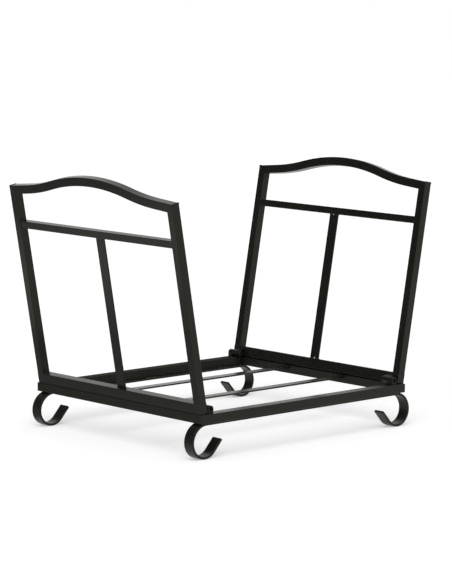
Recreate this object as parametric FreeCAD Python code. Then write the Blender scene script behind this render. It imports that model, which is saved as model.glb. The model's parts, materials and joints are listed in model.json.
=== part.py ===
import FreeCAD, Part
import math
import os

from FreeCAD import Placement, Rotation, Vector

# Folding log rack: a welded base on scrolled feet carries two arched end panels.
# Each panel turns on two hinge pins, stands leaning outward and folds down over the base.
# Frame: X across the rack, Y along the logs (front is -Y), Z up, origin on the floor at the centre.
# All sizes are millimetres, all angles degrees.

# Base frame
base_width = 508.0  # over the outer faces of the side rails
base_depth = 458.0  # over the end caps of the side rails
foot_height = 64.0  # floor to the underside of the rails
tube_size = 16.0  # square tube of the side rails and the panel frames
tube_wall = 1.2
tube_corner = 0.8  # outer corner radius of the frame tubes
bore_corner = 0.3  # inner corner radius of every tube
cross_rail_width = 21.0  # front and rear rails: flat rectangular tube, as high as the square tube
slat_width = 19.0
flat_bar_thickness = 3.0  # slats and centre bars
flat_bar_edge_round = 0.6
slat_spacing = 150.0  # between the centre lines of the two slats
slat_drop = 3.0  # slat top below the rail tops

# Feet: one flat bar under each cross rail, curled into a scroll at both ends
strap_width = 22.3
strap_thickness = 4.4
strap_edge_round = 0.6
strap_setback = 4.7  # from the base end to the edge of the bar
foot_reach = 16.6  # beyond the base side
foot_shoulder_radius = 33.8  # outer radius of the upper bend; the lower one takes the rest of the height
foot_tail_angle = 48.3  # slope of the straight tail
foot_tail_length = 26.8

# End panels
panel_lean = 10.3  # outward lean of the open panel
panel_inset = 1.5  # from the base side to the panel's lower outer corner
panel_end_gap = 3.0  # panel end set in from the base end
bottom_rail_height = 18.75  # flat tube set on edge, as deep as the square tube
panel_corner_height = 377.55  # along the panel, lower edge to the top corners
crossbar_height = 304.95  # along the panel, lower edge to the crossbar's centre line
crossbar_size = 13.2  # thin square tube
crossbar_wall = 1.0
crossbar_corner = 0.9
centre_bar_width = 22.0  # flat bar with its broad side in the panel
centre_bar_setback = 3.0  # from the crossbar's inner face
centre_bar_offset = 5.0  # from the middle of the panel
arch_end_angle = 5.0  # slope of the straight ends of the arched top rail
arch_end_run = 40.0
arch_flank_radius = 440.0  # centre line of the two hollow curves
arch_crown_radius = 405.0  # centre line of the crown

# Hinges
pin_diameter = 7.0
pin_clearance = 0.05  # on the radius, in the knuckle and in the eye
pin_recess = 3.5  # pin end inside the outer mouth of the base knuckle
pin_head_diameter = 10.4
pin_head_height = 2.5
pin_head_round = 1.2
knuckle_width = 10.0
knuckle_wall = 2.7  # round the bore of the knuckle, and thickness of the eye's strip
knuckle_end_gap = 0.5  # panel end to the base knuckle
knuckle_floor_gap = 1.9  # under the panel eye, over the base
eye_width = 17.0
eye_side_gap = 0.5  # panel eye to the base knuckle, and to the pin head
eye_standoff = 2.4  # between the panel eye and the panel's inner face
eye_wrap = 285.0  # angle that the strip is rolled round the pin
leaf_rise = 10.0  # slope of the eye's leaf, up towards the open panel

# End caps
cap_flange = 1.5
cap_plug_length = 9.0
cap_clearance = 0.1  # plug to tube bore, each side

# Open stop: the panel's lower outer edge comes down on the side rail
stop_clearance = 0.05

# Heights and lengths that follow
rail_top = foot_height + tube_size
cross_rail_length = base_width - 2 * tube_size
cross_rail_y = (base_depth - cross_rail_width) / 2
strap_y = (base_depth - strap_width) / 2 - strap_setback
panel_depth = base_depth - 2 * panel_end_gap
upright_y = (panel_depth - tube_size) / 2

# Hinge axis, first in the panel's own frame: X out of the outer face towards the rack's middle,
# Y along the rack, Z up the panel, origin at the lower outer edge of the bottom rail
lean_sin = math.sin(math.radians(panel_lean))
lean_cos = math.cos(math.radians(panel_lean))
eye_bore = pin_diameter / 2 + pin_clearance
eye_radius = eye_bore + knuckle_wall
axis_height = eye_radius + knuckle_floor_gap
corner_lift = tube_corner * (lean_cos + lean_sin - 1)
panel_origin = Vector(panel_inset - base_width / 2, 0, rail_top + stop_clearance - corner_lift)
axis_n = tube_size + eye_standoff + eye_radius
axis_v = (rail_top + axis_height - panel_origin.z - axis_n * lean_sin) / lean_cos
axis_x = panel_origin.x + axis_n * lean_cos - axis_v * lean_sin
axis_z = rail_top + axis_height

# Hinge stations along Y, measured from the middle
knuckle_outer_y = panel_depth / 2 - knuckle_end_gap
knuckle_inner_y = knuckle_outer_y - knuckle_width
eye_outer_y = knuckle_inner_y - eye_side_gap
eye_inner_y = eye_outer_y - eye_width
pin_outer_y = knuckle_outer_y - pin_recess
pin_seat_y = eye_inner_y - eye_side_gap

# Arch of the top rail, on its centre line in the panel's own frame
arch_sin = math.sin(math.radians(arch_end_angle))
arch_cos = math.cos(math.radians(arch_end_angle))
arch_spread = upright_y - arch_end_run * arch_cos + arch_flank_radius * arch_sin
arch_turn = math.asin(arch_spread / (arch_flank_radius + arch_crown_radius))
corner_drop = tube_size / 2 * (1 / arch_cos - arch_sin / arch_cos)
arch_corner = Vector(tube_size / 2, -upright_y, panel_corner_height - corner_drop)

along_x = Rotation(Vector(0, 1, 0), Vector(0, 0, 1), Vector(1, 0, 0), "ZXY")
along_y = Rotation(Vector(0, 0, 1), Vector(1, 0, 0), Vector(0, 1, 0), "ZXY")
along_z = Rotation()
quarter_turn = Rotation(Vector(0, 0, 1), 90)
half_turn = Rotation(Vector(0, 0, 1), 180)


def rounded_wire(width, height, radius):
    """Closed outline of a rounded rectangle, centred in the XY plane."""
    x = width / 2 - radius
    y = height / 2 - radius
    arcs = []
    for centre_x, centre_y, start in ((x, y, 0), (-x, y, 90), (-x, -y, 180), (x, -y, 270)):
        centre = Vector(centre_x, centre_y, 0)
        arcs.append(arc_round(centre, radius, start, start + 90, Vector(1, 0, 0), Vector(0, 1, 0)))
    return closed_wire(arcs)


def arc_round(centre, radius, start, end, first, second):
    """Arc about a centre, its angles counted from the first direction towards the second."""
    points = []
    for angle in (start, (start + end) / 2, end):
        turn = math.radians(angle)
        points.append(centre + first * (radius * math.cos(turn)) + second * (radius * math.sin(turn)))
    return Part.Arc(*points).toShape()


def closed_wire(pieces):
    """Join edges, given in order, into one closed wire with straight links between them."""
    edges = []
    for here, following in zip(pieces, pieces[1:] + pieces[:1]):
        edges.append(here)
        start = here.lastVertex(True).Point
        end = following.firstVertex(True).Point
        if start.distanceToPoint(end) > 1e-6:
            edges.append(Part.makeLine(start, end))
    return Part.Wire(edges)


def tube(length, width, height, wall, corner, direction, centre):
    """Hollow tube with rounded corners, centred on a point."""
    outer = rounded_wire(width, height, corner)
    bore = rounded_wire(width - 2 * wall, height - 2 * wall, bore_corner)
    solid = Part.makeFace([outer, bore], "Part::FaceMakerBullseye").extrude(Vector(0, 0, length))
    solid.translate(Vector(0, 0, -length / 2))
    solid.Placement = Placement(centre, direction) * solid.Placement
    return solid


def square_tube(length, direction, centre):
    return tube(length, tube_size, tube_size, tube_wall, tube_corner, direction, centre)


def flat_bar(length, width, direction, centre):
    """Solid flat bar with its long edges eased, centred on a point."""
    section = rounded_wire(width, flat_bar_thickness, flat_bar_edge_round)
    solid = Part.Face(section).extrude(Vector(0, 0, length))
    solid.translate(Vector(0, 0, -length / 2))
    solid.Placement = Placement(centre, direction) * solid.Placement
    return solid


def end_cap(height, centre, outward):
    """Push-in plug for a frame tube along Y: a flange on the cut end and a plug in the bore."""
    flange = Part.Face(rounded_wire(tube_size, height, tube_corner)).extrude(Vector(0, 0, cap_flange))
    bore_margin = 2 * (tube_wall + cap_clearance)
    plug = Part.Face(rounded_wire(tube_size - bore_margin, height - bore_margin, bore_corner))
    plug = plug.extrude(Vector(0, 0, -cap_plug_length))
    cap = flange.fuse(plug).removeSplitter()
    turn = Rotation(Vector(1, 0, 0), -90 * outward)
    cap.Placement = Placement(centre, turn)
    return cap


def cross_rail(sign):
    centre = Vector(0, sign * cross_rail_y, rail_top - tube_size / 2)
    return tube(cross_rail_length, cross_rail_width, tube_size, tube_wall, tube_corner, along_x, centre)


def side_rail(sign):
    centre = Vector(sign * (base_width - tube_size) / 2, 0, rail_top - tube_size / 2)
    return square_tube(base_depth - 2 * cap_flange, along_y, centre)


def side_rail_caps():
    caps = []
    for side in (-1, 1):
        for end in (-1, 1):
            seat_y = end * (base_depth / 2 - cap_flange)
            centre = Vector(side * (base_width - tube_size) / 2, seat_y, rail_top - tube_size / 2)
            caps.append(end_cap(tube_size, centre, end))
    return Part.makeCompound(caps)


def slat(sign):
    """Flat bar between the side rails, a little below their tops."""
    centre = Vector(0, sign * slat_spacing / 2, rail_top - slat_drop - flat_bar_thickness / 2)
    return flat_bar(cross_rail_length, slat_width, along_x, centre)


def scroll_edges(side):
    """Outer edge, tail end and inner edge of one foot, in order from the rail outward and back."""
    outward = Vector(side, 0, 0)
    up = Vector(0, 0, 1)
    shoulder = foot_shoulder_radius
    curl = foot_height - shoulder
    foremost = Vector(side * (base_width / 2 + foot_reach), 0, curl)
    shoulder_centre = foremost - outward * shoulder
    curl_centre = foremost - outward * curl
    last = -90 - foot_tail_angle
    slope = math.radians(foot_tail_angle)
    run = (outward * -math.cos(slope) + up * math.sin(slope)) * foot_tail_length
    outer_shoulder = arc_round(shoulder_centre, shoulder, 90, 0, outward, up)
    outer_curl = arc_round(curl_centre, curl, 0, last, outward, up)
    inner_curl = arc_round(curl_centre, curl - strap_thickness, last, 0, outward, up)
    inner_shoulder = arc_round(shoulder_centre, shoulder - strap_thickness, 0, 90, outward, up)
    tip = Part.makeLine(outer_curl.lastVertex(True).Point + run, inner_curl.firstVertex(True).Point + run)
    return [outer_shoulder, outer_curl, tip, inner_curl, inner_shoulder]


def backwards(edges):
    """The same edges walked from the far end."""
    turned = []
    for edge in reversed(edges):
        turned.append(edge.reversed())
    return turned


def foot_bar(sign):
    """Flat bar under a cross rail, both ends curled down, in and up again."""
    outline = closed_wire(scroll_edges(1) + backwards(scroll_edges(-1)))
    bar = Part.Face(outline).extrude(Vector(0, strap_width, 0))
    rims = [edge for edge in bar.Edges if abs(edge.BoundBox.YLength) < 1e-6]
    bar = bar.makeFillet(strap_edge_round, rims)
    bar.translate(Vector(0, sign * strap_y - strap_width / 2, 0))
    return bar


def carried_along(face, start_y, end_y):
    """Flat face in an XZ plane carried along Y."""
    solid = face.extrude(Vector(0, end_y - start_y, 0))
    solid.translate(Vector(0, start_y, 0))
    return solid


def base_knuckle(sign):
    """Bored lug for the pin, round on top, standing on the cross rail."""
    right = Vector(1, 0, 0)
    up = Vector(0, 0, 1)
    axis = Vector(axis_x, 0, axis_z)
    foot = axis - up * axis_height
    outside = arc_round(axis, eye_radius, 180, 0, right, up)
    sole = Part.makeLine(foot + right * eye_radius, foot - right * eye_radius)
    bore = Part.Wire(Part.makeCircle(eye_bore, axis, Vector(0, 1, 0)))
    section = Part.makeFace([closed_wire([outside, sole]), bore], "Part::FaceMakerBullseye")
    ends = sorted((sign * knuckle_outer_y, sign * knuckle_inner_y))
    return carried_along(section, *ends)


def hinge_pin(sign):
    """Pin held in the base knuckle, its rounded head beyond the panel eye."""
    shank = pin_outer_y - pin_seat_y
    head_radius = pin_head_diameter / 2
    rim = Vector(head_radius - pin_head_round, 0, -pin_head_height + pin_head_round)
    round_edge = arc_round(rim, pin_head_round, 0, -90, Vector(1, 0, 0), Vector(0, 0, 1))
    side = Part.makeLine(Vector(pin_diameter / 2, 0, shank), Vector(pin_diameter / 2, 0, 0))
    seat = Part.makeLine(Vector(pin_diameter / 2, 0, 0), Vector(head_radius, 0, 0))
    core = Part.makeLine(Vector(0, 0, -pin_head_height), Vector(0, 0, shank))
    profile = Part.Face(closed_wire([side, seat, round_edge, core]))
    pin = profile.revolve(Vector(0, 0, 0), Vector(0, 0, 1), 360)
    turn = Rotation(Vector(1, 0, 0), -90 * sign)
    pin.Placement = Placement(Vector(axis_x, sign * pin_seat_y, axis_z), turn)
    return pin


def panel_eye(sign):
    """Strip rolled round the pin, its leaf welded to the panel's inner face."""
    slope = math.radians(panel_lean + leaf_rise)
    inward = Vector(math.cos(slope), 0, -math.sin(slope))
    up = Vector(math.sin(slope), 0, math.cos(slope))
    axis = Vector(axis_n, 0, axis_v)
    outside = arc_round(axis, eye_radius, 90, 90 - eye_wrap, inward, up)
    inside = arc_round(axis, eye_bore, 90 - eye_wrap, 90, inward, up)
    leaf_ends = []
    for radius in (eye_bore, eye_radius):
        crest = axis + up * radius
        leaf_ends.append(crest - inward * ((crest.x - tube_size) / inward.x))
    ends = sorted((sign * eye_outer_y, sign * eye_inner_y))
    section = Part.Face(closed_wire([outside, inside, Part.makeLine(*leaf_ends)]))
    return carried_along(section, *ends)


def mirrored(point):
    """The same point at the other end of the panel."""
    return Vector(point.x, -point.y, point.z)


def arch_path(overrun):
    """Centre line of the top rail: straight ends, two hollow curves and the crown."""
    heading = Vector(0, arch_cos, arch_sin)
    steep = math.degrees(arch_turn)
    along = Vector(0, 1, 0)
    up = Vector(0, 0, 1)
    start = arch_corner - heading * overrun
    bend = arch_corner + heading * arch_end_run
    flank_centre = bend + Vector(0, -arch_sin, arch_cos) * arch_flank_radius
    flank = arc_round(flank_centre, arch_flank_radius, arch_end_angle - 90, steep - 90, along, up)
    saddle = flank.lastVertex(True).Point
    slope = Vector(0, math.sin(arch_turn), -math.cos(arch_turn))
    crown_centre = saddle + slope * arch_crown_radius
    crown = arc_round(crown_centre, arch_crown_radius, 90 + steep, 90 - steep, along, up)
    flank_middle = flank.valueAt((flank.FirstParameter + flank.LastParameter) / 2)
    far_flank = Part.Arc(mirrored(saddle), mirrored(flank_middle), mirrored(bend)).toShape()
    far_end = Part.makeLine(mirrored(bend), mirrored(start))
    return Part.Wire([Part.makeLine(start, bend), flank, crown, far_flank, far_end])


def mitre_block(sign, above):
    """Everything on one side of the mitre between an upright and the top rail."""
    reach = panel_depth
    corner = Vector(0, arch_corner.y, arch_corner.z)
    tip = Vector(0, -panel_depth / 2, panel_corner_height)
    seam = (tip - corner).normalize()
    away = Vector(0, -seam.z, seam.y) * (-1 if above else 1)
    points = [corner - seam * reach, corner + seam * reach]
    points = points + [points[1] + away * reach, points[0] + away * reach]
    if sign > 0:
        points = [mirrored(point) for point in points]
    face = Part.Face(Part.makePolygon(points + points[:1]))
    block = face.extrude(Vector(2 * tube_size, 0, 0))
    block.translate(Vector(-tube_size / 2, 0, 0))
    return block


def top_rail():
    """Square tube bent to the arch and mitred onto both uprights."""
    path = arch_path(tube_size)
    start = path.Vertexes[0].Point
    heading = Vector(0, arch_cos, arch_sin)
    across = Rotation(Vector(1, 0, 0), Vector(0, arch_sin, -arch_cos), heading, "ZXY")
    shells = []
    for size, radius in ((tube_size, tube_corner), (tube_size - 2 * tube_wall, bore_corner)):
        section = rounded_wire(size, size, radius)
        section.Placement = Placement(start, across)
        shells.append(path.makePipeShell([section], True, False))
    rail = shells[0].cut(shells[1])
    for sign in (-1, 1):
        rail = rail.cut(mitre_block(sign, False))
    return rail.Solids[0]


def upright(sign):
    """Square tube standing on the bottom rail, its top mitred to the arch."""
    length = panel_corner_height - bottom_rail_height
    centre = Vector(tube_size / 2, sign * upright_y, bottom_rail_height + length / 2)
    return square_tube(length, along_z, centre).cut(mitre_block(sign, True)).Solids[0]


def bottom_rail():
    centre = Vector(tube_size / 2, 0, bottom_rail_height / 2)
    length = panel_depth - 2 * cap_flange
    return tube(length, bottom_rail_height, tube_size, tube_wall, tube_corner, along_y, centre)


def bottom_rail_caps():
    caps = []
    for end in (-1, 1):
        seat_y = end * (panel_depth / 2 - cap_flange)
        centre = Vector(tube_size / 2, seat_y, bottom_rail_height / 2)
        caps.append(end_cap(bottom_rail_height, centre, end))
    return Part.makeCompound(caps)


def crossbar():
    centre = Vector(tube_size / 2, 0, crossbar_height)
    length = panel_depth - 2 * tube_size
    return tube(length, crossbar_size, crossbar_size, crossbar_wall, crossbar_corner, along_y, centre)


def centre_bar():
    """Flat bar from the bottom rail to the crossbar, behind the crossbar's inner face."""
    length = crossbar_height - crossbar_size / 2 - bottom_rail_height
    inward = (tube_size + crossbar_size - flat_bar_thickness) / 2 - centre_bar_setback
    centre = Vector(inward, -centre_bar_offset, bottom_rail_height + length / 2)
    return flat_bar(length, centre_bar_width, quarter_turn, centre)


def base_pieces():
    pieces = {
        "front_cross_rail": cross_rail(-1),
        "rear_cross_rail": cross_rail(1),
        "left_side_rail": side_rail(-1),
        "right_side_rail": side_rail(1),
        "side_rail_end_caps": side_rail_caps(),
        "front_slat": slat(-1),
        "rear_slat": slat(1),
        "front_foot_bar": foot_bar(-1),
        "rear_foot_bar": foot_bar(1),
    }
    return pieces


def hinge_pieces(side, turn):
    """Base halves of one panel's two hinges, and their pins."""
    pieces = {}
    for end, sign in (("front", -1), ("rear", 1)):
        built = sign if side == "left" else -sign
        pieces[f"{side}_{end}_base_knuckle"] = base_knuckle(built)
        pieces[f"{side}_{end}_hinge_pin"] = hinge_pin(built)
    for piece in pieces.values():
        piece.Placement = Placement(Vector(), turn) * piece.Placement
    return pieces


def panel_pieces(side, turn):
    """One end panel, made upright in its own frame and then leaned onto the base."""
    pieces = {
        f"{side}_bottom_rail": bottom_rail(),
        f"{side}_bottom_rail_end_caps": bottom_rail_caps(),
        f"{side}_top_rail": top_rail(),
        f"{side}_crossbar": crossbar(),
        f"{side}_centre_bar": centre_bar(),
    }
    for end, sign in (("front", -1), ("rear", 1)):
        built = sign if side == "left" else -sign
        pieces[f"{side}_{end}_upright"] = upright(built)
        pieces[f"{side}_{end}_panel_eye"] = panel_eye(built)
    lean = Placement(panel_origin, Rotation(Vector(0, 1, 0), -panel_lean))
    for piece in pieces.values():
        piece.Placement = Placement(Vector(), turn) * lean * piece.Placement
    return pieces


def main():
    pieces = base_pieces()
    for side, turn in (("left", Rotation()), ("right", half_turn)):
        pieces.update(hinge_pieces(side, turn))
        pieces.update(panel_pieces(side, turn))
    os.makedirs("parts", exist_ok=True)
    for name, shape in pieces.items():
        if not shape.isValid():
            raise ValueError(f"{name} is not a valid solid")
        shape.exportStep(f"parts/{name}.step")
        print(f"{name}: {len(shape.Solids)} solid(s), {shape.Volume:.0f} mm3")
    print(f"hinge axis of the left panel: x {axis_x:.3f}, z {axis_z:.3f}")


main()
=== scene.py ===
import json
import math

import bpy
import numpy as np
from mathutils import Matrix, Vector


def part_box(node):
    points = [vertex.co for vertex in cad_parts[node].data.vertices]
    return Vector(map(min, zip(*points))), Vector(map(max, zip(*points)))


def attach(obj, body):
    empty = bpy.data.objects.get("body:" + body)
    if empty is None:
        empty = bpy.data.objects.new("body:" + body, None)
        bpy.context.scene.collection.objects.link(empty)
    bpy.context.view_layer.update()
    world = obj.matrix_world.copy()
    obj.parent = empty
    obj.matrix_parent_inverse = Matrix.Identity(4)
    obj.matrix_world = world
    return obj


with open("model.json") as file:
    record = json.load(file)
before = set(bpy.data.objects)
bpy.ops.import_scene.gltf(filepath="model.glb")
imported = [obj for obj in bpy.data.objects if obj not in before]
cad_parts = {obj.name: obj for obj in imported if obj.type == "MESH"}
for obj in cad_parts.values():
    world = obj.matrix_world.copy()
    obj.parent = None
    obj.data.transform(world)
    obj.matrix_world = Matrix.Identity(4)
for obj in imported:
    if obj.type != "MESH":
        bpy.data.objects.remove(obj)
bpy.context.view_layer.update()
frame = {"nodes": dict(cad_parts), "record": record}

# Black folding log rack. The CAD nodes carry the tubes, bars and hinges; this script adds
# the weld beads, the finishes, the light and the camera.
# Metres, X across the rack, Y along the logs with the front at -Y, Z up.

nodes = frame["nodes"]
xWay, yWay, zWay = np.eye(3)
print("frame loaded:", len(nodes), "nodes")


# weld beads

beadLook = {
    "sides": 14,             # points round a bead
    "step": 0.00026,         # spacing of the rings along a bead
    "fewestRings": 12,       # on a short bead
    "outlinePoints": 128,    # round a tube, before they are spaced by length
    "ripplePitch": 0.0017,   # from one ripple to the next
    "fewestRipples": 2,      # on a short bead
    "rippleDepth": 0.16,     # share of the bead's height
    "rippleMiddle": 0.6,     # level between trough and crest that keeps the bead's own size
    "rippleBow": 0.55,       # how far a ripple trails at the bead's sides, in pitches
    "wander": 0.11,          # slow change of size along a bead
    "taper": 0.0017,         # length over which an open end runs out
    "seed": 11,
}
beadNoise = np.random.default_rng(beadLook["seed"])


def ringCount(length):
    return max(int(length / beadLook["step"]), beadLook["fewestRings"])


def runBetween(start, end):
    # straight run: start + share * (end - start), share from 0 to 1 in even steps
    start = np.asarray(start, float)
    end = np.asarray(end, float)
    share = np.linspace(0, 1, ringCount(np.linalg.norm(end - start)))
    return start + share[:, None] * (end - start)


def roundTheTube(halfWide, halfHigh, corner):
    # rounded rectangle walked by its length: a smaller rectangle plus a circle of the corner radius;
    # the outward direction is what is left after clipping a point to the smaller rectangle
    turn = np.linspace(0, 2 * np.pi, beadLook["outlinePoints"], endpoint=False)
    core = np.array([halfWide - corner, halfHigh - corner])
    arc = np.stack([np.cos(turn), np.sin(turn)], 1)
    outline = np.sign(arc) * core + arc * corner
    closedLine = np.vstack([outline, outline[:1]])
    steps = np.linalg.norm(np.diff(closedLine, axis=0), axis=1)
    walked = np.concatenate([[0], np.cumsum(steps)])
    where = np.linspace(0, walked[-1], ringCount(walked[-1]), endpoint=False)
    points = np.stack([np.interp(where, walked, closedLine[:, k]) for k in (0, 1)], 1)
    outward = points - np.clip(points, -core, core)
    return points, outward / np.linalg.norm(outward, axis=1)[:, None]


def bead(path, wide, tall, halfWidth, height, closed=False):
    # bead(s, t) = path(s) + size(s, t) * (halfWidth cos t * wide(s) + height sin t * tall(s))
    # size = end taper * (1 + bowed |sin| ripples + three slow sines of random phase)
    wide = np.broadcast_to(np.asarray(wide, float), path.shape)
    tall = np.broadcast_to(np.asarray(tall, float), path.shape)
    stepping = np.linalg.norm(np.roll(path, -1, axis=0) - path, axis=1)
    along = np.concatenate([[0], np.cumsum(stepping[:-1])])
    length = along[-1] + (stepping[-1] if closed else 0)
    turn = np.linspace(0, 2 * np.pi, beadLook["sides"], endpoint=False)
    ripples = max(round(length / beadLook["ripplePitch"]), beadLook["fewestRipples"])
    bow = beadLook["rippleBow"] * np.cos(turn) ** 2
    phase = np.pi * (along[:, None] / length * ripples + bow[None, :])
    size = 1 + beadLook["rippleDepth"] * (np.abs(np.sin(phase)) - beadLook["rippleMiddle"])
    for waves in (1, 2, 3):
        slow = np.sin(2 * np.pi * (waves * along / length + beadNoise.random()))
        size = size + beadLook["wander"] / waves * slow[:, None]
    if not closed:
        nearEnd = np.clip(np.minimum(along, length - along) / beadLook["taper"], 0, 1)
        size = size * np.sqrt(1 - (1 - nearEnd) ** 2)[:, None]
    across = halfWidth * np.cos(turn)[None, :, None] * wide[:, None, :]
    raised = height * np.sin(turn)[None, :, None] * tall[:, None, :]
    grid = path[:, None, :] + size[:, :, None] * (across + raised)
    flip = np.dot(np.cross(wide[0], tall[0]), path[1] - path[0]) < 0
    return gridFaces(grid, closed, flip)


def roundBead(path, wide, tall, radius, closed=False):
    # a bead as high as its half width
    return bead(path, wide, tall, radius, radius, closed)


def gridFaces(grid, closed, flip):
    # quads between neighbouring rings, the last ring joined to the first on a closed bead,
    # or both end rings drawn to one point and closed with a fan on an open one
    rings, sides = grid.shape[:2]
    if not closed:
        poles = np.stack([grid[0].mean(0), grid[-1].mean(0)])
        grid = grid[1:-1]
        rings = rings - 2
    index = np.arange(rings * sides).reshape(rings, sides)
    here = index if closed else index[:-1]
    ahead = np.roll(index, -1, axis=0) if closed else index[1:]
    quads = np.stack([here, np.roll(here, -1, axis=1), np.roll(ahead, -1, axis=1), ahead], -1)
    points = grid.reshape(-1, 3)
    faces = [quads.reshape(-1, 4)]
    if not closed:
        firstPole = np.full(sides, rings * sides)
        points = np.vstack([points, poles])
        faces.append(np.stack([firstPole, np.roll(index[0], -1), index[0]], -1))
        faces.append(np.stack([firstPole + 1, index[-1], np.roll(index[-1], -1)], -1))
    return points, [block[:, ::-1] if flip else block for block in faces]


def beadPiece(name, beads, body, finish):
    # all beads of one kind of joint go into one mesh, as separate closed shells
    points = []
    faces = []
    offset = 0
    for beadPoints, beadFaces in beads:
        points.append(beadPoints)
        for block in beadFaces:
            faces += (block + offset).tolist()
        offset += len(beadPoints)
    mesh = bpy.data.meshes.new(name)
    mesh.from_pydata(np.vstack(points).tolist(), [], faces)
    mesh.polygons.foreach_set("use_smooth", np.ones(len(mesh.polygons), bool))
    mesh.materials.append(finish)
    mesh.update()
    piece = bpy.data.objects.new(name, mesh)
    bpy.context.scene.collection.objects.link(piece)
    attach(piece, body)


# shader nodes

mixUnder, mixOver, mixResult = 6, 7, 2     # where a Mix node keeps its colour sockets


def addNode(tree, kind, inputs=None, **settings):
    # an input is linked where a socket is given, and set to the value otherwise
    node = tree.nodes.new(kind)
    for key, value in settings.items():
        setattr(node, key, value)
    for key, value in (inputs or {}).items():
        if isinstance(value, bpy.types.NodeSocket):
            tree.links.new(value, node.inputs[key])
        else:
            node.inputs[key].default_value = value
    return node


def emptyMaterial(name):
    material = bpy.data.materials.new(name)
    material.use_nodes = True
    material.node_tree.nodes.clear()
    return material, material.node_tree


def newGroup(name, inputs, output):
    # inputs: socket name and kind; one value comes out
    group = bpy.data.node_groups.new(name, "ShaderNodeTree")
    for label, kind in inputs.items():
        group.interface.new_socket(label, in_out="INPUT", socket_type="NodeSocket" + kind)
    group.interface.new_socket(output, in_out="OUTPUT", socket_type="NodeSocketFloat")
    return group, group.nodes.new("NodeGroupInput").outputs


def closeGroup(group, value):
    out = group.nodes.new("NodeGroupOutput")
    group.links.new(value, out.inputs[0])
    return group


def useGroup(tree, group, inputs):
    return addNode(tree, "ShaderNodeGroup", inputs, node_tree=group).outputs[0]


def mathNode(tree, operation, first, second=0.0, clamp=False):
    inputs = {0: first, 1: second}
    return addNode(tree, "ShaderNodeMath", inputs, operation=operation, use_clamp=clamp).outputs[0]


def weighted(tree, first, firstShare, second, secondShare):
    firstPart = mathNode(tree, "MULTIPLY", first, firstShare)
    secondPart = mathNode(tree, "MULTIPLY", second, secondShare)
    return mathNode(tree, "ADD", firstPart, secondPart)


def spread(tree, value, low, high):
    # 0 at low, 1 at high, smooth between them
    inputs = {"Value": value, "From Min": low, "From Max": high}
    return addNode(tree, "ShaderNodeMapRange", inputs, interpolation_type="SMOOTHSTEP").outputs[0]


def noise(tree, spot, scale, detail, roughness):
    inputs = {"Vector": spot, "Scale": scale, "Detail": detail, "Roughness": roughness}
    return addNode(tree, "ShaderNodeTexNoise", inputs).outputs["Fac"]


def opaque(tone):
    return (*tone, 1.0)


def blendTone(tree, mask, amount, under, over):
    # under where the mask times the amount is 0, over where it is 1
    strength = mathNode(tree, "MULTIPLY", mask, amount, clamp=True)
    inputs = {"Factor": strength, mixUnder: under, mixOver: over}
    return addNode(tree, "ShaderNodeMix", inputs, data_type="RGBA").outputs[mixResult]


# effects that every finish uses; each noise is given by its detail and roughness

skinLook = {
    "peelNoise": (2.0, 0.45),
    "peelShare": 0.72,
    "gritNoise": (3.0, 0.6),
    "gritShare": 0.28,
    "nibScale": 0.22,           # of the orange peel's scale
    "nibEdge": (0.13, 0.05),    # distance from a nib's middle, at its foot and on its top
    "nibShare": 0.5,
}
driftLook = {
    "broadNoise": (3.0, 0.55),
    "broadShare": 0.65,
    "fineNoise": (4.0, 0.6),
    "fineShare": 0.35,
    "levels": (0.3, 0.7),       # noise levels that give the deepest and the palest tone
}
rubLook = {
    "patchNoise": (5.0, 0.65),
    "patchLevels": (0.46, 0.68),
    "cornerLevels": (0.55, 0.98),
}
dustLook = {
    "patchNoise": (6.0, 0.7),
    "patchLevels": (0.38, 0.72),
    "upLevels": (0.55, 0.95),   # how far a face looks up
}


def makePaintSkin():
    # orange peel of sprayed paint with finer grit on it, and sparse nibs
    inputs = {"Vector": "Vector", "Peel Scale": "Float", "Grit Scale": "Float"}
    group, given = newGroup("paintSkin", inputs, "Height")
    spot = given["Vector"]
    peel = noise(group, spot, given["Peel Scale"], *skinLook["peelNoise"])
    grit = noise(group, spot, given["Grit Scale"], *skinLook["gritNoise"])
    skin = weighted(group, peel, skinLook["peelShare"], grit, skinLook["gritShare"])
    nibScale = mathNode(group, "MULTIPLY", given["Peel Scale"], skinLook["nibScale"])
    cells = addNode(group, "ShaderNodeTexVoronoi", {"Vector": spot, "Scale": nibScale})
    nibs = spread(group, cells.outputs["Distance"], *skinLook["nibEdge"])
    nibs = mathNode(group, "MULTIPLY", nibs, skinLook["nibShare"])
    return closeGroup(group, mathNode(group, "ADD", skin, nibs))


def makeToneDrift():
    # broad cloudy change of tone along a bar, with a finer mottle in it
    inputs = {"Vector": "Vector", "Broad Scale": "Float", "Fine Scale": "Float"}
    group, given = newGroup("toneDrift", inputs, "Drift")
    broad = noise(group, given["Vector"], given["Broad Scale"], *driftLook["broadNoise"])
    fine = noise(group, given["Vector"], given["Fine Scale"], *driftLook["fineNoise"])
    both = weighted(group, broad, driftLook["broadShare"], fine, driftLook["fineShare"])
    return closeGroup(group, spread(group, both, *driftLook["levels"]))


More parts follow.
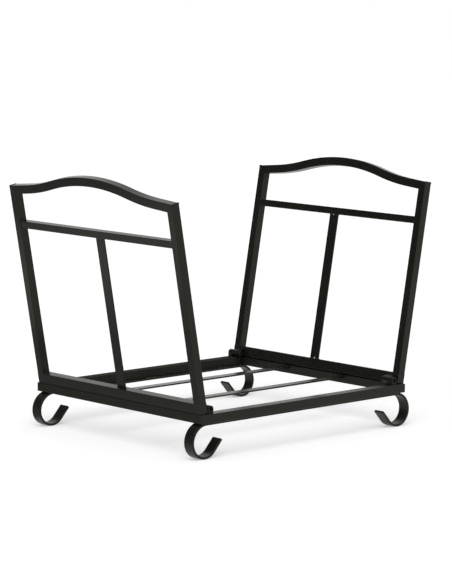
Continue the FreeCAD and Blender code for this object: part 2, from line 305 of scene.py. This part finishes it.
def makeEdgeRub():
    # rounded corner of a tube: with a the share of the normal along the tube wall's axis,
    # 2 a sqrt(1 - a a) is 0 on both faces and 1 half way round the corner; noise breaks it up
    inputs = {"Normal": "Vector", "Axis": "Vector", "Vector": "Vector", "Scale": "Float"}
    group, given = newGroup("edgeRub", inputs, "Rub")
    pair = {0: given["Normal"], 1: given["Axis"]}
    share = addNode(group, "ShaderNodeVectorMath", pair, operation="DOT_PRODUCT").outputs["Value"]
    share = mathNode(group, "ABSOLUTE", share)
    square = mathNode(group, "MULTIPLY", share, share)
    rest = mathNode(group, "SQRT", mathNode(group, "SUBTRACT", 1.0, square, clamp=True))
    corner = mathNode(group, "MULTIPLY", mathNode(group, "MULTIPLY", share, rest), 2.0)
    corner = spread(group, corner, *rubLook["cornerLevels"])
    patches = noise(group, given["Vector"], given["Scale"], *rubLook["patchNoise"])
    patches = spread(group, patches, *rubLook["patchLevels"])
    return closeGroup(group, mathNode(group, "MULTIPLY", corner, patches))


def makeSettledDust():
    # thin dust on faces that look up, thicker in noise patches
    inputs = {"Normal": "Vector", "Vector": "Vector", "Scale": "Float"}
    group, given = newGroup("settledDust", inputs, "Dust")
    up = addNode(group, "ShaderNodeSeparateXYZ", {0: given["Normal"]}).outputs["Z"]
    up = spread(group, up, *dustLook["upLevels"])
    patches = noise(group, given["Vector"], given["Scale"], *dustLook["patchNoise"])
    patches = spread(group, patches, *dustLook["patchLevels"])
    return closeGroup(group, mathNode(group, "MULTIPLY", up, patches))


paintSkin = makePaintSkin()
toneDrift = makeToneDrift()
edgeRub = makeEdgeRub()
settledDust = makeSettledDust()


# finishes

def blackFinish(name, look):
    material, tree = emptyMaterial(name)
    place = addNode(tree, "ShaderNodeTexCoord")
    spot = place.outputs["Object"]
    facing = place.outputs["Normal"]
    skin = useGroup(tree, paintSkin, {
        "Vector": spot,
        "Peel Scale": look["peelScale"],
        "Grit Scale": look["gritScale"],
    })
    drift = useGroup(tree, toneDrift, {
        "Vector": spot,
        "Broad Scale": look["broadScale"],
        "Fine Scale": look["fineScale"],
    })
    rub = useGroup(tree, edgeRub, {
        "Normal": facing,
        "Axis": look["edgeAxis"],
        "Vector": spot,
        "Scale": look["rubScale"],
    })
    dust = useGroup(tree, settledDust, {
        "Normal": facing,
        "Vector": spot,
        "Scale": look["dustScale"],
    })
    tone = blendTone(tree, drift, 1.0, opaque(look["deepTone"]), opaque(look["paleTone"]))
    tone = blendTone(tree, rub, look["rubAmount"], tone, opaque(look["rubTone"]))
    tone = blendTone(tree, dust, look["dustAmount"], tone, opaque(look["dustTone"]))
    gloss = addNode(tree, "ShaderNodeMapRange", {
        "Value": drift,
        "To Min": look["roughLow"],
        "To Max": look["roughHigh"],
    }).outputs[0]
    polish = mathNode(tree, "MULTIPLY", rub, look["rubPolish"])
    dull = mathNode(tree, "MULTIPLY", dust, look["dustDull"])
    gloss = mathNode(tree, "ADD", mathNode(tree, "SUBTRACT", gloss, polish), dull, clamp=True)
    bump = addNode(tree, "ShaderNodeBump", {
        "Strength": 1.0,
        "Distance": look["skinDepth"],
        "Height": skin,
    })
    shader = addNode(tree, "ShaderNodeBsdfPrincipled", {
        "Base Color": tone,
        "Roughness": gloss,
        "Metallic": look["metal"],
        "Specular IOR Level": look["specular"],
        "Specular Tint": opaque(look["sheenTone"]),
        "Normal": bump.outputs["Normal"],
    })
    addNode(tree, "ShaderNodeOutputMaterial", {"Surface": shader.outputs[0]})
    return material


panelLean = math.radians(10.3)
alongLogs = (0.0, 1.0, 0.0)
satinBlack = {
    "deepTone": (0.0058, 0.0063, 0.0048),
    "paleTone": (0.0098, 0.0104, 0.0082),
    "specular": 0.20,
    "sheenTone": (0.98, 1.0, 0.83),
    "metal": 0.0,
    "roughLow": 0.27,
    "roughHigh": 0.34,
    "peelScale": 620.0,       # orange peel about 1.6 mm across
    "gritScale": 3600.0,
    "skinDepth": 0.00005,
    "broadScale": 11.0,
    "fineScale": 130.0,
    "edgeAxis": (0.0, 0.0, 1.0),   # normal of one of the two walls that meet at a rubbed edge
    "rubScale": 240.0,
    "rubAmount": 0.35,
    "rubTone": (0.026, 0.026, 0.024),
    "rubPolish": 0.06,
    "dustScale": 85.0,
    "dustAmount": 0.10,
    "dustTone": (0.10, 0.095, 0.085),
    "dustDull": 0.05,
}
# what each finish changes in the satin black
finishChanges = {
    "basePaint": {},
    "sideRailPaint": {"specular": 0.25, "roughLow": 0.52, "roughHigh": 0.62},
    # shaded copy of the satin black: its paler base tone stands in for the face reflection it no longer
    # gives, and its top is kept dark as painted shade
    "rearRailShadedPaint": {                   # dull copy of the paint, so its top stays dark from a low view: painted shade
        "deepTone": (0.0225, 0.0242, 0.0187),
        "paleTone": (0.0305, 0.0322, 0.0256),
        "specular": 0.01,
        "roughLow": 0.60,
        "roughHigh": 0.70,
        "dustAmount": 0.03,
    },
    "slatPaint": {"specular": 0.26, "roughLow": 0.20, "roughHigh": 0.27, "dustAmount": 0.22},
    "footPaint": {"edgeAxis": alongLogs, "broadScale": 15.0, "peelScale": 540.0},
    "hingePaint": {
        "specular": 0.15,
        "roughLow": 0.38,
        "roughHigh": 0.48,
        "peelScale": 760.0,
        "edgeAxis": alongLogs,
        "dustAmount": 0.06,
    },
    "pinSteel": {
        "deepTone": (0.012, 0.012, 0.012),
        "paleTone": (0.03, 0.03, 0.029),
        "metal": 0.5,
        "roughLow": 0.3,
        "roughHigh": 0.42,
        "gritScale": 5200.0,
        "skinDepth": 0.00002,
        "edgeAxis": alongLogs,
    },
    "capPlastic": {
        "deepTone": (0.0088, 0.0084, 0.0098),
        "paleTone": (0.0125, 0.0118, 0.0138),
        "roughLow": 0.46,
        "roughHigh": 0.54,
        "peelScale": 1500.0,
        "gritScale": 5200.0,
        "skinDepth": 0.00003,
        "edgeAxis": alongLogs,
        "rubAmount": 0.15,
    },
    # pale grey weld tack: partly the bare metal's own colour, partly a painted glint
    "bareTackGlint": {
        "deepTone": (0.40, 0.40, 0.385),
        "paleTone": (0.56, 0.56, 0.54),
        "specular": 0.4,
        "metal": 0.25,
        "roughLow": 0.3,
        "roughHigh": 0.4,
        "skinDepth": 0.00002,
        "rubTone": (0.5, 0.5, 0.48),
    },
    "leftPanelPaint": {
        "roughLow": 0.17,
        "roughHigh": 0.24,
        "edgeAxis": (math.cos(panelLean), 0.0, math.sin(panelLean)),
    },
    "rightPanelPaint": {
        "roughLow": 0.17,
        "roughHigh": 0.24,
        "edgeAxis": (-math.cos(panelLean), 0.0, math.sin(panelLean)),
    },
}
finishes = {name: blackFinish(name, {**satinBlack, **change}) for name, change in finishChanges.items()}

finishOfSlot = {
    "base_paint": "basePaint",
    "foot_paint": "footPaint",
    "hinge_paint": "hingePaint",
    "pin_steel": "pinSteel",
    "cap_plastic": "capPlastic",
}
finishOfNode = {      # nodes that differ from the rest of their slot
    "left_side_rail": "sideRailPaint",
    "right_side_rail": "sideRailPaint",
    # the rear rail takes the shaded copy of the paint, with painted shade on its top
    "rear_cross_rail": "rearRailShadedPaint",
    "front_slat": "slatPaint",
    "rear_slat": "slatPaint",
}
slotOf = {part["node"]: part["material_slot"] for part in frame["record"]["subparts"]}
for name, node in nodes.items():
    if slotOf[name] == "panel_paint":
        chosen = name.split("_")[0] + "PanelPaint"
    else:
        chosen = finishOfNode.get(name, finishOfSlot[slotOf[name]])
    node.data.materials.clear()
    node.data.materials.append(finishes[chosen])
print("finishes ready:", len(finishes))


# joints on the base

baseWelds = {
    "seamHalf": 0.0016,      # flush seam across the corner, ground low
    "seamHeight": 0.0003,
    "seamClear": 0.0005,     # kept free at the side rail's open end
    "cornerBead": 0.0013,
    "edgeClear": 0.0012,     # kept free at the edges of rails and slats
    "slatBead": 0.0015,
    "slatTack": 0.0011,
    "tackShare": 0.55,       # length of the tack over that of the full bead
    "footBead": 0.0016,
    "footRun": 0.026,
    "footAt": (-0.185, 0.0, 0.185),
    "knuckleBead": 0.0006,
    "knuckleClear": 0.0006,
}
sideLow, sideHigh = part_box("right_side_rail")
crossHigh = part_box("front_cross_rail")[1]
slatLow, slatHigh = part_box("front_slat")
strapLow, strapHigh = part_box("front_foot_bar")
railFace = sideLow.x                     # inner face of a side rail, from the middle
railTop = sideHigh.z
railUnder = sideLow.z
ends = [(x, y) for x in (-1, 1) for y in (-1, 1)]


def cornerWelds():
    # a low seam over each corner's top and a fillet in its inside angle
    made = []
    clear = baseWelds["edgeClear"]
    outer = -sideLow.y - baseWelds["seamClear"]
    inner = -crossHigh.y
    for x, y in ends:
        face = x * railFace
        seam = runBetween((face, y * outer, railTop), (face, y * (inner + clear), railTop))
        made.append(bead(seam, xWay, zWay, baseWelds["seamHalf"], baseWelds["seamHeight"]))
        angle = runBetween((face, y * inner, railUnder + clear), (face, y * inner, railTop - clear))
        made.append(roundBead(angle, -x * xWay, -y * yWay, baseWelds["cornerBead"]))
    return made


def slatWelds():
    # a full bead under each slat end and a short tack on top
    made = []
    middle = -(slatLow.y + slatHigh.y) / 2
    half = (slatHigh.y - slatLow.y) / 2 - baseWelds["edgeClear"]
    under = (slatLow.z, -1, half, baseWelds["slatBead"])
    top = (slatHigh.z, 1, half * baseWelds["tackShare"], baseWelds["slatTack"])
    for x, y in ends:
        face = x * railFace
        for height, way, reach, radius in (under, top):
            line = runBetween((face, y * middle - reach, height), (face, y * middle + reach, height))
            made.append(roundBead(line, -x * xWay, way * zWay, radius))
    return made


def footWelds():
    # stitch beads along both edges of each foot bar, under the cross rail
    made = []
    reach = baseWelds["footRun"] / 2
    for end in (-1, 1):
        for edge, way in ((-strapLow.y, 1), (-strapHigh.y, -1)):
            for x in baseWelds["footAt"]:
                line = runBetween((x - reach, end * edge, railUnder), (x + reach, end * edge, railUnder))
                made.append(roundBead(line, end * way * yWay, -zWay, baseWelds["footBead"]))
    return made


def knuckleWelds():
    # fillets along both sides of each base knuckle
    made = []
    clear = baseWelds["knuckleClear"]
    for side in ("left", "right"):
        for end in ("front", "rear"):
            low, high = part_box(f"{side}_{end}_base_knuckle")
            for x, way in ((low.x, -1), (high.x, 1)):
                line = runBetween((x, low.y + clear, railTop), (x, high.y - clear, railTop))
                made.append(roundBead(line, way * xWay, zWay, baseWelds["knuckleBead"]))
    return made


beadPiece("corner_welds", cornerWelds(), "base", finishes["basePaint"])
beadPiece("slat_welds", slatWelds(), "base", finishes["basePaint"])
beadPiece("foot_welds", footWelds(), "base", finishes["footPaint"])
beadPiece("knuckle_welds", knuckleWelds(), "base", finishes["hingePaint"])
print("base welds ready")


# joints on the panels, worked out in the panel's own frame: inward, along the logs, up the panel

panelWelds = {
    "origin": (0.2525, 0.0, 0.07992),   # lower outer edge of the bottom rail, from the rack's middle
    "tube": 0.016,
    "tubeCorner": 0.0008,
    "railHeight": 0.01875,
    "depth": 0.452,
    "cornerHeight": 0.37755,
    "archSlope": math.radians(5.0),
    "crossbarAt": 0.30495,
    "crossbar": 0.0132,
    "crossbarCorner": 0.0009,
    "centreBar": (0.003, 0.022),        # thickness and width
    "centreRound": 0.0006,
    "centreAt": (0.0101, -0.005),       # middle of the bar, inward and along the logs
    "seamHalf": 0.0014,
    "seamHeight": 0.00022,
    "footBead": 0.0014,
    "footClear": 0.0018,                # kept free at both edges of the rail
    "barBead": 0.0012,
    "centreBead": 0.0011,
    "leafBead": 0.0010,
    "leafAt": 0.013749,                 # upper face of a hinge leaf, where it meets the rail
    "leafSpan": (0.1985, 0.2145),
    "tackAt": ((-0.0029, 0.0189), (-0.0048, 0.2984)),   # along the logs and up, at the centre bar's ends
    "tackReach": 0.0017,
    "tackHalf": 0.0024,
    "tackHeight": 0.0026,
}
tube = panelWelds["tube"]
halfTube = tube / 2
uprightMiddle = panelWelds["depth"] / 2 - halfTube
uprightFace = panelWelds["depth"] / 2 - tube


def panelSeam(path, wide, tall):
    # flush seam that goes all round a tube
    return bead(path, wide, tall, panelWelds["seamHalf"], panelWelds["seamHeight"], closed=True)


def uprightWelds():
    # flush seam round each upright's foot, and a fillet on the rail inside it
    made = []
    rail = panelWelds["railHeight"]
    clear = panelWelds["footClear"]
    ring, outward = roundTheTube(halfTube, halfTube, panelWelds["tubeCorner"])
    level = np.full(len(ring), rail)
    tall = np.column_stack([outward, np.zeros(len(ring))])
    for end in (-1, 1):
        path = np.column_stack([halfTube + ring[:, 0], end * uprightMiddle + ring[:, 1], level])
        made.append(panelSeam(path, zWay, tall))
        y = end * (uprightMiddle - halfTube)
        line = runBetween((clear, y, rail), (tube - clear, y, rail))
        made.append(roundBead(line, -end * yWay, zWay, panelWelds["footBead"]))
    return made


def mitreWelds():
    # flush seam round each mitred top corner: the tube's outline stretched along the mitre
    made = []
    slope = panelWelds["archSlope"]
    top = panelWelds["cornerHeight"]
    drop = halfTube * (1 / math.cos(slope) - math.tan(slope))
    for end in (-1, 1):
        centre = np.array([halfTube, end * uprightMiddle, top - drop])
        tip = np.array([halfTube, end * (uprightMiddle + halfTube), top])
        reach = np.linalg.norm(tip - centre)
        seamWay = (tip - centre) / reach
        ring, outward = roundTheTube(halfTube, reach, panelWelds["tubeCorner"])
        path = centre + ring[:, :1] * xWay + ring[:, 1:] * seamWay
        tall = outward[:, :1] * xWay + outward[:, 1:] * seamWay
        made.append(panelSeam(path, np.cross(xWay, seamWay), tall))
    return made


def barWelds():
    # fillets round the crossbar's ends on the uprights, and round both ends of the centre bar
    made = []
    half = panelWelds["crossbar"] / 2
    middle = panelWelds["crossbarAt"]
    ring, outward = roundTheTube(half, half, panelWelds["crossbarCorner"])
    wide = np.column_stack([outward[:, 0], np.zeros(len(ring)), outward[:, 1]])
    for end in (-1, 1):
        face = np.full(len(ring), end * uprightFace)
        path = np.column_stack([halfTube + ring[:, 0], face, middle + ring[:, 1]])
        made.append(roundBead(path, wide, -end * yWay, panelWelds["barBead"], closed=True))
    thick, broad = panelWelds["centreBar"]
    ring, outward = roundTheTube(thick / 2, broad / 2, panelWelds["centreRound"])
    wide = np.column_stack([outward, np.zeros(len(ring))])
    for height, way in ((panelWelds["railHeight"], 1), (middle - half, -1)):
        path = np.column_stack([ring + panelWelds["centreAt"], np.full(len(ring), height)])
        made.append(roundBead(path, wide, way * zWay, panelWelds["centreBead"], closed=True))
    return made


def leafWelds():
    # a fillet on top of each hinge leaf, against the bottom rail
    made = []
    height = panelWelds["leafAt"]
    for end in (-1, 1):
        first, last = (end * y for y in panelWelds["leafSpan"])
        line = runBetween((tube, first, height), (tube, last, height))
        made.append(roundBead(line, xWay, zWay, panelWelds["leafBead"]))
    return made


def tackWelds():
    # one bare tack on the inner face of the centre bar at each end; its pale grey is partly bare weld
    # metal and partly a painted glint
    made = []
    face = panelWelds["centreAt"][0] + panelWelds["centreBar"][0] / 2
    reach = panelWelds["tackReach"]
    for y, height in panelWelds["tackAt"]:
        line = runBetween((face, y - reach, height), (face, y + reach, height))
        made.append(bead(line, zWay, xWay, panelWelds["tackHalf"], panelWelds["tackHeight"]))
    return made


def ontoPanel(beads, sign):
    # left panel: sign -1; the right one is the same panel turned half round
    x, y, z = panelWelds["origin"]
    inward = np.array([-sign * math.cos(panelLean), 0.0, math.sin(panelLean)])
    along = np.array([0.0, -sign * 1.0, 0.0])
    up = np.array([sign * math.sin(panelLean), 0.0, math.cos(panelLean)])
    turn = np.stack([inward, along, up])
    return [(np.array([sign * x, y, z]) + points @ turn, faces) for points, faces in beads]


panelSides = (("left", -1), ("right", 1))
for side, sign in panelSides:
    body = side + "_panel"
    paint = finishes[side + "PanelPaint"]
    leafPaint = finishes["hingePaint"]
    beadPiece(side + "_upright_welds", ontoPanel(uprightWelds(), sign), body, paint)
    beadPiece(side + "_mitre_welds", ontoPanel(mitreWelds(), sign), body, paint)
    beadPiece(side + "_bar_welds", ontoPanel(barWelds(), sign), body, paint)
    beadPiece(side + "_leaf_welds", ontoPanel(leafWelds(), sign), body, leafPaint)
for side, sign in panelSides:
    tacks = ontoPanel(tackWelds(), sign)
    # the tacks' pale finish is partly a painted glint
    beadPiece(side + "_centre_tacks", tacks, side + "_panel", finishes["bareTackGlint"])
print("panel welds ready")


# floor and light

studio = {
    "floorReach": 9.0,
    "floorTone": 0.80,
    "floorLift": 0.37,      # added for the camera and for reflections only
    "floorGrid": 13,        # points along each side
    "skyLevel": 0.50,       # what the world sends as light
    "keyStrength": 1.4,
    "keySpread": 55.0,      # degrees across, so shadows stay soft
    "keyFrom": (-0.42, -0.40, 0.82),
    "flagReflectedShade": 0.34,       # painted dark reflection in the right panel's paint, from a sheet only reflections see
    "flagDistance": 4.0,
    "flagTurn": (84.0, 205.0),
    "flagRise": (1.0, 70.0),
    "flagGrid": (25, 17),
    "cardTurn": (96.0, 205.0),
    "cardGrid": (25, 5),
    "cardHeight": 0.002,    # over the floor
    "nearPaintedFloorShade": (0.64, 0.36, 0.86),     # tone, from, to: painted shade of the floor near the rack, seen only in the low rails and feet
    "farPaintedFloorShade": (0.45, 1.46, 2.6),       # painted darker floor further out, seen only in the arched top rail
}


def grey(tone):
    return (tone, tone, tone, 1.0)


def seenRays(tree):
    # 1 for what the camera or a reflection sees, 0 for light
    path = addNode(tree, "ShaderNodeLightPath")
    seen = mathNode(tree, "MAXIMUM", path.outputs["Is Camera Ray"], path.outputs["Is Glossy Ray"])
    return mathNode(tree, "MAXIMUM", seen, path.outputs["Is Transmission Ray"])


def gridSheet(name, points, material):
    # one quad between each four neighbours of a grid of points
    index = np.arange(points.shape[0] * points.shape[1]).reshape(points.shape[:2])
    quads = np.stack([index[:-1, :-1], index[:-1, 1:], index[1:, 1:], index[1:, :-1]], -1)
    mesh = bpy.data.meshes.new(name)
    mesh.from_pydata(points.reshape(-1, 3).tolist(), [], quads.reshape(-1, 4).tolist())
    mesh.materials.append(material)
    sheet = bpy.data.objects.new(name, mesh)
    bpy.context.scene.collection.objects.link(sheet)
    return sheet


def makeFloor():
    # flat sheet: reach * (u, v, 0), u and v from -1 to 1
    share = np.linspace(-1, 1, studio["floorGrid"])
    u, v = np.meshgrid(share, share)
    points = studio["floorReach"] * np.stack([u, v, np.zeros_like(u)], -1)
    material, tree = emptyMaterial("paleFloor")
    matte = addNode(tree, "ShaderNodeBsdfDiffuse", {"Color": grey(studio["floorTone"])})
    strength = mathNode(tree, "MULTIPLY", seenRays(tree), studio["floorLift"])
    lift = addNode(tree, "ShaderNodeEmission", {"Strength": strength})
    both = addNode(tree, "ShaderNodeAddShader", {0: matte.outputs[0], 1: lift.outputs[0]})
    addNode(tree, "ShaderNodeOutputMaterial", {"Surface": both.outputs[0]})
    floor = gridSheet("floor", points, material)


def makeWorld():
    # white to the camera and to reflections, a softer level as light
    world = bpy.data.worlds.new("studio")
    bpy.context.scene.world = world
    world.use_nodes = True
    tree = world.node_tree
    tree.nodes.clear()
    light = addNode(tree, "ShaderNodeBackground", {"Color": grey(studio["skyLevel"]), "Strength": 1.0})
    white = addNode(tree, "ShaderNodeBackground", {"Color": grey(1.0), "Strength": 1.0})
    inputs = {0: seenRays(tree), 1: light.outputs[0], 2: white.outputs[0]}
    shown = addNode(tree, "ShaderNodeMixShader", inputs)
    addNode(tree, "ShaderNodeOutputWorld", {"Surface": shown.outputs[0]})


def makeKey():
    lamp = bpy.data.lights.new("softKey", "SUN")
    lamp.energy = studio["keyStrength"]
    lamp.angle = math.radians(studio["keySpread"])
    key = bpy.data.objects.new("softKey", lamp)
    key.rotation_euler = (-Vector(studio["keyFrom"])).to_track_quat("-Z", "Y").to_euler()
    bpy.context.scene.collection.objects.link(key)


def paintedReflectionCard(name, points, tone):
    # painted reflection: a dark sheet that only reflections see, which neither lights nor shades the
    # rack
    material, tree = emptyMaterial(name + "Cloth")
    shadeSheet = addNode(tree, "ShaderNodeBsdfPrincipled", {
        "Base Color": grey(tone),
        "Roughness": 1.0,
        "Specular IOR Level": 0.0,
    })
    addNode(tree, "ShaderNodeOutputMaterial", {"Surface": shadeSheet.outputs[0]})
    card = gridSheet(name, points, material)
    card.visible_camera = False
    card.visible_diffuse = False
    card.visible_shadow = False


def makePaintedDarkReflection():
    # painted dark reflection: only reflections see it, and it darkens the right panel's paint
    # part of a ball round the rack, distance * (cos rise cos turn, cos rise sin turn, sin rise)
    turnCount, riseCount = studio["flagGrid"]
    turns = np.radians(np.linspace(*studio["flagTurn"], turnCount))
    rises = np.radians(np.linspace(*studio["flagRise"], riseCount))
    turn, rise = np.meshgrid(turns, rises, indexing="ij")
    ball = np.stack([np.cos(rise) * np.cos(turn), np.cos(rise) * np.sin(turn), np.sin(rise)], -1)
    paintedReflectionCard("paintedDarkReflection", studio["flagDistance"] * ball, studio["flagReflectedShade"])


def makePaintedFloorShade(name):
    # part of a ring round the rack, reach * (cos turn, sin turn), just over the floor: a painted darker
    # floor that only reflections see
    tone, start, end = studio[name]
    turnCount, reachCount = studio["cardGrid"]
    turns = np.radians(np.linspace(*studio["cardTurn"], turnCount))
    turn, reach = np.meshgrid(turns, np.linspace(start, end, reachCount), indexing="ij")
    height = np.full_like(turn, studio["cardHeight"])
    paintedReflectionCard(name, np.stack([reach * np.cos(turn), reach * np.sin(turn), height], -1), tone)


makeFloor()
makeWorld()
makeKey()
makePaintedDarkReflection()
makePaintedFloorShade("nearPaintedFloorShade")
makePaintedFloorShade("farPaintedFloorShade")
print("floor, world, key light and cards ready")


# camera

cameraPlace = {
    "eye": (-3.306626, -3.646992, 0.916003),
    "right": (0.740173, -0.672400, 0.004631),
    "up": (0.086636, 0.102193, 0.990985),
    "lens": 165.307,
    "sensor": 36.0,
    "farClip": 60.0,
}


def makeCamera():
    data = bpy.data.cameras.new("camera")
    data.lens = cameraPlace["lens"]
    data.sensor_width = cameraPlace["sensor"]
    data.clip_end = cameraPlace["farClip"]
    camera = bpy.data.objects.new("camera", data)
    right = Vector(cameraPlace["right"])
    up = Vector(cameraPlace["up"])
    turn = Matrix((right, up, right.cross(up))).transposed().to_4x4()
    camera.matrix_world = Matrix.Translation(cameraPlace["eye"]) @ turn
    bpy.context.scene.collection.objects.link(camera)
    bpy.context.scene.camera = camera


makeCamera()
bpy.context.scene.view_settings.view_transform = "Standard"
print("camera ready")
